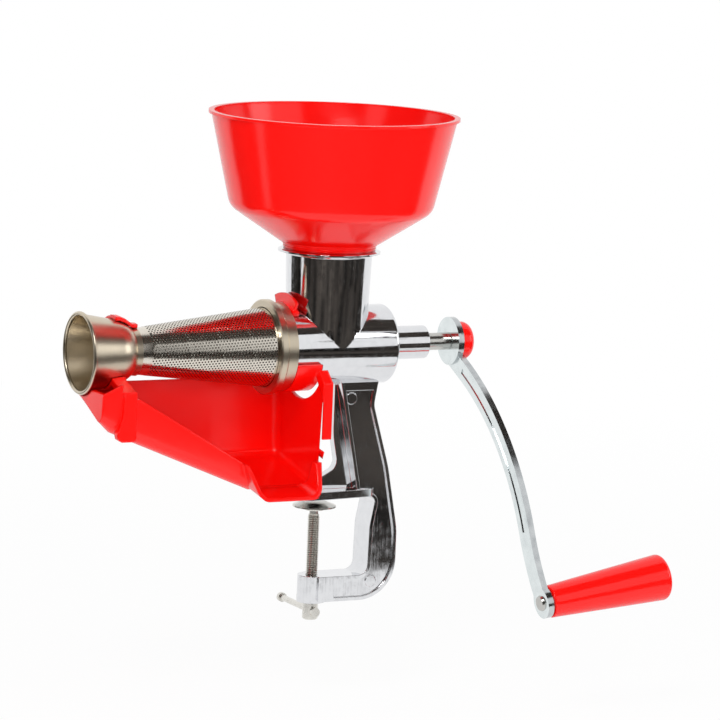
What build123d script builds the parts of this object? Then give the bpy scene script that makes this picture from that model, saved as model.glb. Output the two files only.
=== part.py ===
from build123d import *
from math import atan2, cos, degrees, pi, radians, sin, sqrt, tan
import os

os.makedirs("parts", exist_ok=True)

# Hand-cranked tomato strainer that clamps to the edge of a table.
# Millimetres. +Z is up, +X runs along the auger towards the crank, and the
# origin is where the clamp screw's axis meets the face that rests on the table.

# ---- fits and clearances ----
shaft_play = 0.05  # radial, round shaft in its bush
thread_play = 0.05  # radial, screw in its tapped boss
free_gap = 0.4  # between pieces that turn past each other
seat_gap = 0.3  # loose seat of a moulded piece over metal

# ---- barrel and inlet of the casting ----
axis_z = 122.7
barrel_radius = 31.8
barrel_bore_radius = 27.8
barrel_front_x = -46.5
barrel_rear_x = 56.0
barrel_rear_wall = 8.0
barrel_edge_fillet = 3.0
boss_radius = 13.4
boss_end_x = 92.0
boss_root_fillet = 3.0
inlet_x = 4.5
inlet_top_z = 201.0
inlet_foot_z = axis_z + 8.0
inlet_top_radius = 34.5
inlet_foot_radius = 32.2
inlet_bore_radius = 30.0
inlet_throat_radius = 27.0
inlet_collar_radius = 37.2
inlet_lip_radius = 41.0
inlet_lip_z = 198.2
inlet_lip_thickness = 1.5
inlet_flare_height = 2.0

# ---- leg, platen and lower arm of the clamp ----
leg_width = 27.0
leg_top_z = 96.0
leg_head_x = 13.0
leg_foot_x = 32.4
panel_depth = 4.0
panel_rim = 3.0
panel_top_z = 87.0
panel_end_x = 14.0
platen_thickness = 6.4
platen_half_width = 21.0  # at its front; it narrows to the leg's width
platen_front_x = -18.0
platen_rear_x = 46.5
platen_corner_radius = 7.0
throat_x = 44.0
throat_flare = 4.5
throat_floor_z = -64.0
throat_corner_radius = 8.0
arm_bottom_z = -84.5
leg_crown = 4.5
web_thickness = 8.0
ejector_mark_radius = 4.7
ejector_mark_height = 0.6
ejector_marks = [(23.7, 80.5), (47.2, -69.5)]
clamp_boss_radius = 11.4
clamp_boss_top_z = -64.0
clamp_boss_bottom_z = -86.0

# ---- drive ----
shaft_radius = 7.0
shaft_shoulder_x = 115.0
shaft_square = 10.0
shaft_tip_x = -18.0
shaft_end_radius = 6.0
shaft_end_flats = 9.0
bush_outer_radius = 10.0
bush_length = 28.0
seal_length = 5.0
washer_outer_radius = 15.0
washer_thickness = 2.0
shaft_chamfer = 0.8

# ---- auger ----
auger_tip_x = -157.0
auger_rear_x = 30.0
auger_core_rear_radius = 13.0
auger_core_tip_radius = 9.0
auger_gap = 0.6
flight_thickness = 3.2
flight_depth = 16.0
turns_in_cone = 4
spring_wire_radius = 1.0
spring_mean_radius = 10.5
spring_turns = 4
spring_closed_pitch = 2.45

# ---- strainer cone, collar and waste trumpet ----
cone_large_radius = 31.8
cone_small_radius = 17.8
cone_small_x = -167.0
cone_sheet = 0.9
cone_flange_radius = 33.6
cone_flange_thickness = 1.2
gasket_thickness = 2.0
collar_sheet = 1.4
collar_radius = 35.5
collar_skirt_end_x = -36.0
collar_bead_radius = 38.0
collar_bead_width = 6.5
collar_lip_thickness = 1.8
pin_radius = 3.0
pin_x = -41.0
trumpet_sheet = 1.0
trumpet_sleeve_x = -162.5
trumpet_rim_x = -208.0
trumpet_rim_radius = 31.0
trumpet_bead_radius = 1.6
trumpet_taper_x = -183.0
trumpet_taper_radius = 26.2
trumpet_shoulder_x = -172.5
trumpet_shoulder_radius = 22.8

# ---- juice chute ----
chute_wall = 2.4
chute_half_width = 44.0  # at the rim
chute_draft = 4.0
chute_rim_z = 92.0
chute_loft_z = 126.0
chute_bow_x = -206.5
chute_bow_z = 71.0
chute_bow_fall = 0.42
chute_shin_x = -196.0
chute_shin_z = 61.0
chute_shin_fall = 0.33
chute_keel_x = -178.0
chute_keel_z = 54.0
chute_keel_fall = 0.26
chute_sump_x = -74.0
chute_sump_z = 12.0
chute_sump_fall = 0.16
chute_end_x = -14.0
chute_bow_radius = 7.0
chute_floor_radius = 11.0
chute_end_radius = 9.0
chute_nose_rim_z = 95.8
chute_nose_slope = 0.5
chute_bell_gap = 0.9
chute_spout_left_x = -75.0
chute_spout_height = 36.0
chute_spout_flare = 0.35
chute_spout_radius = 9.0
chute_lip_reach = 17.0
chute_lip_rise = 6.0
chute_lip_root = 10.0
chute_window_radius = 42.0
chute_tab_foot_z = 54.0

# ---- clips and post of the juice chute ----
post_front_x = -190.0
post_rear_x = -178.5
post_top_z = 98.0
post_foot_z = 59.0
post_proud = 2.2
post_slant = 4.5
post_cut_z = 92.0
bulkhead_low_z = 58.0
bulkhead_high_z = 78.0
clip_front_x = -24.6
clip_width = 15.6
clip_finger_width = 21.6
clip_arm_width = 6.0
clip_finger_lead = 11.0
clip_rib_lead = 9.0
clip_outer_radius = 36.0
clip_rib_radius = 43.0
clip_finger_angles = (-100, -18)
clip_arm_angles = (-305, -95)
clip_rib_angles = (-300, -245)
cradle_angles = (-150, -38)
neck_arm_angles = (-285, -120)
neck_tip_angles = (-285, -262)
neck_arm_front_x = -182.0
neck_tip_height = 3.0

# ---- hopper ----
hopper_wall = 2.2
hopper_rim_radius = 97.8
hopper_lip_radius = 100.0
hopper_top_z = 308.5
hopper_waist_radius = 81.0
hopper_waist_z = 233.0
hopper_waist_fillet = 14.0
hopper_neck_radius = 36.3
hopper_throat_radius = 40.5
hopper_neck_z = 206.4
hopper_bead_radius = 38.2
hopper_bead_height = 1.6
hopper_ring_radius = 37.2
hopper_ring_height = 1.0
hopper_spigot_foot_z = 172.0

# ---- crank arm ----
arm_sheet = 5.0
arm_lean = 8.1
arm_width = 18.0
arm_hub_radius = 19.5
arm_eye_radius = 12.5
arm_start = (-20.0, -22.0)
arm_start_heading = 62.0
arm_bend_radius = 167.0
arm_mid_heading = 10.0
arm_toe_radius = 171.0
arm_toe_heading = 29.5
arm_lead = 28.0
arm_groove_width = 5.0
arm_groove_depth = 0.7

# ---- grip and knob ----
grip_length = 105.0
grip_small_radius = 13.0
grip_large_radius = 19.0
grip_end_fillet = 4.0
grip_recess_depth = 5.0
pin_head_radius = 6.0
pin_head_height = 2.0
grip_pin_radius = 4.0
grip_washer_radius = 9.0
grip_washer_thickness = 1.2
rivet_head_radius = 5.6
rivet_head_height = 1.8
knob_radius = 15.5
knob_depth = 13.5
knob_dome = 7.0
stud_radius = 4.0
stud_depth = 16.0

# ---- clamp screw ----
screw_radius = 5.0
screw_neck_radius = 3.6
screw_tip_radius = 4.6
screw_hub_radius = 6.3
screw_hub_height = 14.0
screw_hub_gap = 0.5
pad_radius = 17.5
pad_top_z = -4.0
pad_sheet = 1.6
pad_dish = 2.6
pad_hub_radius = 7.5
pad_hub_height = 7.0
bar_radius = 2.5
bar_length = 58.0
bar_head_radius = 3.8
bar_head_length = 3.5


def axis_plane(x):
    """Plane square to the auger axis at x: local x is Y and local y is Z."""
    return Plane(origin=(x, 0, axis_z), x_dir=(0, 1, 0), z_dir=(1, 0, 0))


def side_plane(y=0.0, x=0.0, z=0.0):
    """Plane facing -Y: local x is X and local y is Z."""
    return Plane(origin=(x, y, z), x_dir=(1, 0, 0), z_dir=(0, -1, 0))


def profile(plane, points):
    """Closed face through points given in the plane's own x and y."""
    with BuildSketch(plane) as drawn:
        with BuildLine():
            Polyline(*points, close=True)
        make_face()
    return drawn.sketch


auger_axis = Axis((0, 0, axis_z), (1, 0, 0))
inlet_axis = Axis((inlet_x, 0, 0), (0, 0, 1))
spigot_radius = inlet_bore_radius - seat_gap
cone_flange_x = barrel_front_x - gasket_thickness - cone_flange_thickness
cone_slope = (cone_large_radius - cone_small_radius) / (cone_flange_x - cone_small_x)


def cone_radius(x):
    """Outer radius of the strainer cone at x."""
    return cone_small_radius + cone_slope * (x - cone_small_x)


# ---- body casting: barrel, inlet, leg, platen and lower arm in one piece ----
# Corners of the leg's side view with the radius that rounds each of them.
leg_corners = [
    ((leg_head_x, leg_top_z), 1),
    ((leg_foot_x, 0), 1),
    ((throat_x + throat_flare, 0), 5),
    ((throat_x, -24.0), 30),
    ((throat_x - 0.8, throat_floor_z), throat_corner_radius),
    ((0, throat_floor_z), 1),
    ((0, arm_bottom_z), 1),
    ((68.5, arm_bottom_z), 32),
    ((68.5, -28.0), 60),
    ((58.5, 24.0), 120),
    ((43.4, 75.0), 16),
    ((47.0, leg_top_z), 1),
]
web_corners = [
    ((12.5, leg_top_z), 1),
    ((12.7, 50.0), 60),
    ((17.5, 24.0), 9),
    ((-4.0, 12.0), 6),
    ((-7.0, platen_thickness - 1), 1),
    ((34.0, platen_thickness - 1), 1),
    ((24.0, leg_top_z), 1),
]


def rounded_profile(plane, corners):
    """Closed face through corners, each given as ((x, y), radius)."""
    with BuildSketch(plane) as drawn:
        with BuildLine():
            FilletPolyline(
                *[point for point, radius in corners],
                radius=[radius for point, radius in corners],
                close=True,
            )
        make_face()
    return drawn.sketch


with BuildPart() as body_casting:
    with BuildSketch(axis_plane(barrel_front_x)):
        Circle(barrel_radius)
    extrude(amount=barrel_rear_x - barrel_front_x)
    rear_rim = body_casting.edges().filter_by(GeomType.CIRCLE).sort_by(Axis.X)[-1]
    fillet(rear_rim, barrel_edge_fillet)
    with BuildSketch(side_plane(x=inlet_x)):
        with BuildLine():
            Polyline(
                (0, inlet_foot_z),
                (inlet_foot_radius, inlet_foot_z),
                (inlet_top_radius, inlet_lip_z - inlet_flare_height),
                (inlet_top_radius + inlet_flare_height, inlet_lip_z),
                (inlet_lip_radius, inlet_lip_z),
                (inlet_lip_radius, inlet_lip_z + inlet_lip_thickness),
                (inlet_collar_radius, inlet_top_z),
                (0, inlet_top_z),
                close=True,
            )
        make_face()
    revolve(axis=inlet_axis)
    with BuildSketch(axis_plane(barrel_rear_x - barrel_rear_wall)):
        Circle(boss_radius)
    extrude(amount=boss_end_x - barrel_rear_x + barrel_rear_wall)
    boss_rims = body_casting.edges().filter_by(GeomType.CIRCLE).sort_by(Axis.X)
    boss_rims = boss_rims.filter_by(lambda edge: abs(edge.radius - boss_radius) < 0.01)
    fillet(boss_rims[0], boss_root_fillet)
    # leg with the throat and the lower arm, recessed on both sides
    leg_near = side_plane(y=-leg_width / 2)
    leg_face = rounded_profile(leg_near, leg_corners)
    extrude(leg_face, amount=-leg_width)
    with BuildSketch(leg_near):
        add(rounded_profile(Plane.XY, leg_corners))
        offset(amount=-panel_rim, kind=Kind.INTERSECTION)
        with Locations((panel_end_x, (panel_top_z + arm_bottom_z) / 2)):
            Rectangle(
                200,
                panel_top_z - arm_bottom_z,
                align=(Align.MIN, Align.CENTER),
                mode=Mode.INTERSECT,
            )
    pocket = extrude(amount=-panel_depth, mode=Mode.SUBTRACT)
    mirror(pocket, about=Plane.XZ, mode=Mode.SUBTRACT)
    with BuildSketch(leg_near.offset(-panel_depth)):
        with Locations(*ejector_marks):
            Circle(ejector_mark_radius)
    marks = extrude(amount=ejector_mark_height)
    mirror(marks, about=Plane.XZ)
    extrude(rounded_profile(side_plane(), web_corners), amount=web_thickness / 2, both=True)
    # the leg's front is crowned between its rims
    crown_run = Vector(leg_foot_x - leg_head_x, 0, -leg_top_z)
    crown_plane = Plane(origin=(leg_head_x, 0, leg_top_z), x_dir=(0, 1, 0), z_dir=crown_run)
    with BuildSketch(crown_plane):
        with BuildLine():
            ThreePointArc((-leg_width / 2, 0), (0, leg_crown), (leg_width / 2, 0))
            Line((leg_width / 2, 0), (-leg_width / 2, 0))
        make_face()
    extrude(amount=crown_run.length)
    # platen that rests on the table, narrowing to the width of the leg
    platen = rounded_profile(Plane.XY, [
        ((platen_front_x, -platen_half_width), platen_corner_radius),
        ((platen_rear_x, -leg_width / 2), 3),
        ((platen_rear_x, leg_width / 2), 3),
        ((platen_front_x, platen_half_width), platen_corner_radius),
    ])
    extrude(platen, amount=platen_thickness)
    with BuildSketch(Plane.XY.offset(clamp_boss_bottom_z)):
        Circle(clamp_boss_radius)
    extrude(amount=clamp_boss_top_z - clamp_boss_bottom_z)
    # bores
    with BuildSketch(axis_plane(barrel_front_x)):
        Circle(barrel_bore_radius)
    extrude(amount=barrel_rear_x - barrel_rear_wall - barrel_front_x, mode=Mode.SUBTRACT)
    with BuildSketch(axis_plane(0)):
        Circle(bush_outer_radius)
    extrude(amount=boss_end_x, mode=Mode.SUBTRACT)
    with BuildSketch(side_plane(x=inlet_x)):
        with BuildLine():
            Polyline(
                (0, axis_z),
                (inlet_throat_radius, axis_z),
                (inlet_throat_radius, inlet_foot_z + 6),
                (inlet_bore_radius, inlet_foot_z + 14),
                (inlet_bore_radius, inlet_top_z),
                (0, inlet_top_z),
                close=True,
            )
        make_face()
    revolve(axis=inlet_axis, mode=Mode.SUBTRACT)
    with BuildSketch(side_plane(y=barrel_radius + 1, x=pin_x, z=axis_z)):
        Circle(pin_radius)
    extrude(amount=2 * barrel_radius + 2, mode=Mode.SUBTRACT)
    with BuildSketch(Plane.XY.offset(clamp_boss_bottom_z)):
        Circle(screw_radius)
    extrude(amount=clamp_boss_top_z - clamp_boss_bottom_z, mode=Mode.SUBTRACT)
body_casting.part.label = "body_casting"
export_step(body_casting.part, "parts/body_casting.step")


# ---- plain bearing, seal and thrust washer on the drive shaft ----
bush_x = boss_end_x - bush_length
with BuildPart() as shaft_bush:
    with BuildSketch(axis_plane(bush_x)):
        Circle(bush_outer_radius)
        Circle(shaft_radius + shaft_play, mode=Mode.SUBTRACT)
    extrude(amount=bush_length)
shaft_bush.part.label = "shaft_bush"
export_step(shaft_bush.part, "parts/shaft_bush.step")

with BuildPart() as shaft_seal:
    with BuildSketch(axis_plane(bush_x - seal_length)):
        Circle(bush_outer_radius)
        Circle(shaft_radius + shaft_play, mode=Mode.SUBTRACT)
    extrude(amount=seal_length)
shaft_seal.part.label = "shaft_seal"
export_step(shaft_seal.part, "parts/shaft_seal.step")

washer_x = barrel_rear_x - barrel_rear_wall - shaft_play - washer_thickness
with BuildPart() as thrust_washer:
    with BuildSketch(axis_plane(washer_x)):
        Circle(washer_outer_radius)
        Circle(shaft_radius, mode=Mode.SUBTRACT)
    extrude(amount=washer_thickness)
thrust_washer.part.label = "thrust_washer"
export_step(thrust_washer.part, "parts/thrust_washer.step")

# ---- drive shaft: square in the auger, round in the bush, flats in the crank ----
shaft_end_x = shaft_shoulder_x + arm_sheet
with BuildPart() as drive_shaft:
    with BuildSketch(axis_plane(shaft_tip_x)):
        Rectangle(shaft_square, shaft_square)
    extrude(amount=auger_rear_x - shaft_tip_x)
    with BuildSketch(axis_plane(auger_rear_x)):
        Circle(shaft_radius)
    extrude(amount=shaft_shoulder_x - auger_rear_x)
    shoulder_rim = drive_shaft.edges().filter_by(GeomType.CIRCLE).sort_by(Axis.X)[-1]
    chamfer(shoulder_rim, shaft_chamfer)
    with BuildSketch(axis_plane(shaft_shoulder_x)):
        Circle(shaft_end_radius)
        Rectangle(2 * shaft_end_radius, shaft_end_flats, mode=Mode.INTERSECT)
    extrude(amount=arm_sheet)
    with BuildSketch(axis_plane(shaft_end_x)):
        Circle(stud_radius)
    extrude(amount=-stud_depth, mode=Mode.SUBTRACT)
drive_shaft.part.label = "drive_shaft"
export_step(drive_shaft.part, "parts/drive_shaft.step")

# ---- auger: a helical flight that widens in the cone and runs on in the barrel ----
flight_start_x = auger_tip_x + 4
flight_mouth_x = cone_flange_x - 1
flight_pitch = (flight_mouth_x - flight_start_x) / turns_in_cone
tip_reach = cone_radius(flight_start_x) - cone_sheet - auger_gap
mouth_reach = cone_radius(flight_mouth_x) - cone_sheet - auger_gap
barrel_reach = barrel_bore_radius - auger_gap


def flight(start_x, length, start_reach, end_reach):
    """Helical blade from start_x, its outer edge going from start_reach to end_reach."""
    with BuildPart() as blade:
        path = Helix(
            pitch=flight_pitch,
            height=length,
            radius=start_reach - flight_depth / 2,
            center=(start_x, 0, axis_z),
            direction=(1, 0, 0),
            cone_angle=degrees(atan2(end_reach - start_reach, length)),
        )
        outward = Vector(0, (path @ 0).Y, (path @ 0).Z - axis_z).normalized()
        with BuildSketch(Plane(origin=path @ 0, x_dir=outward, z_dir=path % 0)):
            Rectangle(flight_depth, flight_thickness)
        sweep(path=path, is_frenet=True)
    return blade.part


with BuildPart() as auger:
    core = [
        (auger_tip_x, 0),
        (auger_tip_x, auger_core_tip_radius - 2),
        (auger_tip_x + 2, auger_core_tip_radius),
        (flight_mouth_x, auger_core_rear_radius),
        (auger_rear_x, auger_core_rear_radius),
        (auger_rear_x, 0),
    ]
    revolve(profile(side_plane(z=axis_z), core), axis=auger_axis)
    cone_length = flight_mouth_x - flight_start_x
    barrel_length = auger_rear_x - flight_mouth_x - flight_thickness
    add(flight(flight_start_x, cone_length, tip_reach, mouth_reach))
    add(flight(flight_mouth_x, barrel_length, barrel_reach, barrel_reach))
    with BuildSketch(axis_plane(shaft_tip_x)):
        Rectangle(shaft_square, shaft_square)
    extrude(amount=auger_rear_x - shaft_tip_x, mode=Mode.SUBTRACT)
auger.part.label = "auger"
export_step(auger.part, "parts/auger.step")

# ---- spring behind the auger: closed at both ends, open in the middle ----
spring_start_x = auger_rear_x + spring_wire_radius
spring_length = washer_x - spring_wire_radius - spring_start_x
spring_open = spring_length - spring_closed_pitch * spring_turns


def spring_point(turn):
    """Point on the spring's centre line after so many turns."""
    part = turn / spring_turns
    rise = spring_closed_pitch * turn + spring_open * (part - sin(2 * pi * part) / (2 * pi))
    angle = 2 * pi * turn
    return Vector(
        spring_start_x + rise,
        spring_mean_radius * cos(angle),
        axis_z + spring_mean_radius * sin(angle),
    )


def spring_heading(turn):
    """Unit tangent of the centre line after so many turns."""
    step = 1e-4
    return (spring_point(turn + step) - spring_point(turn - step)).normalized()


def biarc(start, leaving, end, arriving):
    """Two arcs that leave start one way and reach end the other, smooth where they join."""
    chord = end - start
    bend = 2 * (1 - leaving.dot(arriving))
    along = chord.dot(leaving + arriving)
    reach = (sqrt(along ** 2 + bend * chord.dot(chord)) - along) / bend
    join = (start + end + (leaving - arriving) * reach) * 0.5
    TangentArc(start, join, tangent=leaving)
    TangentArc(join, end, tangent=end - start - (leaving + arriving) * reach)


with BuildPart() as auger_spring:
    with BuildLine() as wire:
        for quarter in range(4 * spring_turns):
            here = quarter / 4
            there = here + 0.25
            biarc(
                spring_point(here),
                spring_heading(here),
                spring_point(there),
                spring_heading(there),
            )
    with BuildSketch(Plane(origin=wire.line @ 0, z_dir=wire.line % 0)):
        RegularPolygon(spring_wire_radius, 8)
    sweep(path=wire.line)
auger_spring.part.label = "auger_spring"
export_step(auger_spring.part, "parts/auger_spring.step")
coil_points = [spring_point(index / 48) for index in range(48 * spring_turns + 1)]
coil_gap = min(
    (one - other).length - 2 * spring_wire_radius
    for place, one in enumerate(coil_points)
    for other in coil_points[place + 24:]
)
print("auger_spring least gap to itself", round(coil_gap, 2), "mm")

# ---- cone gasket and the strainer cone with its rolled flange ----
with BuildPart() as cone_gasket:
    with BuildSketch(axis_plane(barrel_front_x - gasket_thickness)):
        Circle(barrel_radius)
        Circle(barrel_bore_radius, mode=Mode.SUBTRACT)
    extrude(amount=gasket_thickness)
cone_gasket.part.label = "cone_gasket"
export_step(cone_gasket.part, "parts/cone_gasket.step")

with BuildPart() as strainer_cone:
    wall = [
        (cone_small_x, cone_small_radius),
        (cone_flange_x, cone_large_radius),
        (cone_flange_x, cone_flange_radius),
        (cone_flange_x + cone_flange_thickness, cone_flange_radius),
        (cone_flange_x + cone_flange_thickness, cone_large_radius - cone_sheet),
        (cone_flange_x, cone_large_radius - cone_sheet),
        (cone_small_x, cone_small_radius - cone_sheet),
    ]
    revolve(profile(side_plane(z=axis_z), wall), axis=auger_axis)
strainer_cone.part.label = "strainer_cone"
export_step(strainer_cone.part, "parts/strainer_cone.step")

# ---- collar ring that clamps the cone flange to the barrel, and its pins ----
collar_inner_radius = collar_radius - collar_sheet
collar_front_x = cone_flange_x - collar_lip_thickness
with BuildPart() as collar_ring:
    section = [
        (collar_skirt_end_x, collar_inner_radius),
        (collar_skirt_end_x, collar_radius),
        (collar_front_x + collar_bead_width + 1, collar_radius),
        (collar_front_x + collar_bead_width, collar_bead_radius - 1),
        (collar_front_x + collar_bead_width - 1, collar_bead_radius),
        (collar_front_x + 1, collar_bead_radius),
        (collar_front_x, collar_bead_radius - 1),
        (collar_front_x, cone_large_radius + seat_gap),
        (cone_flange_x, cone_large_radius + seat_gap),
        (cone_flange_x, collar_inner_radius),
    ]
    revolve(profile(side_plane(z=axis_z), section), axis=auger_axis)
collar_ring.part.label = "collar_ring"
export_step(collar_ring.part, "parts/collar_ring.step")

with BuildPart() as bayonet_pins:
    with BuildSketch(side_plane(y=-barrel_bore_radius - 1, x=pin_x, z=axis_z)):
        Circle(pin_radius)
    extrude(amount=collar_inner_radius - seat_gap - barrel_bore_radius - 1)
    mirror(about=Plane.XZ)
bayonet_pins.part.label = "bayonet_pins"
export_step(bayonet_pins.part, "parts/bayonet_pins.step")

# ---- waste trumpet: a bell with a beaded rim, sleeved over the cone's small end ----
bell_outline = [
    (trumpet_rim_x, trumpet_rim_radius),
    (trumpet_taper_x, trumpet_taper_radius),
    (trumpet_shoulder_x, trumpet_shoulder_radius),
    (cone_small_x, cone_small_radius + trumpet_sheet),
]
with BuildPart() as waste_trumpet:
    sleeve_radius = cone_radius(trumpet_sleeve_x)
    inner_outline = [(x, radius - trumpet_sheet) for x, radius in bell_outline[:3]]
    inner_outline.append((cone_small_x - trumpet_sheet, cone_small_radius - cone_sheet))
    with BuildSketch(side_plane(z=axis_z)):
        with BuildLine():
            Line(bell_outline[0], bell_outline[1])
            ThreePointArc(*bell_outline[1:])
            Polyline(
                bell_outline[3],
                (trumpet_sleeve_x, sleeve_radius + trumpet_sheet),
                (trumpet_sleeve_x, sleeve_radius),
                (cone_small_x, cone_small_radius),
                (cone_small_x, cone_small_radius - cone_sheet),
                inner_outline[3],
            )
            ThreePointArc(*reversed(inner_outline[1:]))
            Polyline(inner_outline[1], inner_outline[0], bell_outline[0])
        make_face()
    revolve(axis=auger_axis)
    with BuildSketch(side_plane(z=axis_z)):
        with Locations((trumpet_rim_x, trumpet_rim_radius)):
            Circle(trumpet_bead_radius)
    revolve(axis=auger_axis)
waste_trumpet.part.label = "waste_trumpet"
export_step(waste_trumpet.part, "parts/waste_trumpet.step")


# ---- juice chute: a drafted tub with a pouring lip, clipped to barrel and neck ----
clip_inner_radius = barrel_radius + seat_gap


def ring_point(radius, angle):
    """Point round the auger axis; angle 0 is the near side, 90 the top."""
    return (-radius * cos(radians(angle)), radius * sin(radians(angle)))


def ring_sector(section, angles):
    """Section of (x, radius) turned round the auger axis from one angle to another."""
    first, last = angles
    step = (last - first) / 6
    xs = [x for x, radius in section]
    far = 2 * max(radius for x, radius in section)
    with BuildPart() as ring:
        revolve(profile(side_plane(z=axis_z), section), axis=auger_axis)
        sides = [ring_point(far, first + step * index) for index in range(7)]
        wedge = profile(axis_plane(min(xs)), [(0, 0), *sides])
        extrude(wedge, amount=max(xs) - min(xs), mode=Mode.INTERSECT)
    return ring.part


def band(x, width, inner, outer):
    """Section of a plain ring from x, for ring_sector."""
    return [(x, inner), (x + width, inner), (x + width, outer), (x, outer)]


def tub_section(x, floor, fall, radius, inset):
    """Cross-section of the tub at x, its floor falling towards the near side."""
    lean = tan(radians(chute_draft))
    half = chute_half_width - inset + (chute_loft_z - chute_rim_z) * lean
    low = floor + inset
    drop = 2 * chute_half_width * fall
    corners = [
        (-half, chute_loft_z - axis_z),
        (-half + (chute_loft_z - low) * lean, low - axis_z),
        (half - (chute_loft_z - low - drop) * lean, low + drop - axis_z),
        (half, chute_loft_z - axis_z),
    ]
    with BuildSketch(axis_plane(x)) as section:
        with BuildLine():
            FilletPolyline(*corners, radius=radius - inset)
            Line(corners[-1], corners[0])
        make_face()
    return section.sketch.face()


def tub(inset):
    """Solid of the tub, drawn in by inset on every wall."""
    stations = [
        (chute_bow_x + inset, chute_bow_z, chute_bow_fall, chute_bow_radius),
        (chute_shin_x + 0.7 * inset, chute_shin_z, chute_shin_fall, chute_floor_radius),
        (chute_keel_x + 0.3 * inset, chute_keel_z, chute_keel_fall, chute_floor_radius),
        (chute_sump_x, chute_sump_z, chute_sump_fall, chute_floor_radius),
        (chute_end_x - inset, chute_sump_z, chute_sump_fall, chute_floor_radius),
    ]
    with BuildPart() as block:
        loft([tub_section(*station, inset) for station in stations], ruled=True)
        end = block.faces().sort_by(Axis.X)[-1]
        rounded = end.edges().filter_by(lambda edge: edge.center().Z < chute_loft_z - 1)
        fillet(rounded, chute_end_radius - inset)
    return block.part


def spout(inset, rise, inward, outward):
    """Solid of the pouring lip, from inside the near wall out to its edge."""
    start = -chute_half_width - outward
    floor = chute_sump_z + inset - chute_sump_fall * outward
    top = chute_spout_height + rise
    left = chute_spout_left_x + inset
    right = chute_end_x - inset
    drawn = rounded_profile(side_plane(y=start), [
        ((left - chute_spout_flare * (top - floor), top), 0.5),
        ((left, floor), chute_spout_radius - inset),
        ((right - chute_spout_radius, floor), chute_spout_radius + 2 - inset),
        ((right - 1, top), 0.5),
    ])
    return extrude(drawn, amount=outward + inward, dir=(0, 1, chute_sump_fall))


def bell_gap_radius(x):
    """Radius just outside the trumpet's tapered bell at x."""
    slope = (trumpet_rim_radius - trumpet_taper_radius) / (trumpet_taper_x - trumpet_rim_x)
    return trumpet_taper_radius + slope * (trumpet_taper_x - x) + seat_gap


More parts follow.
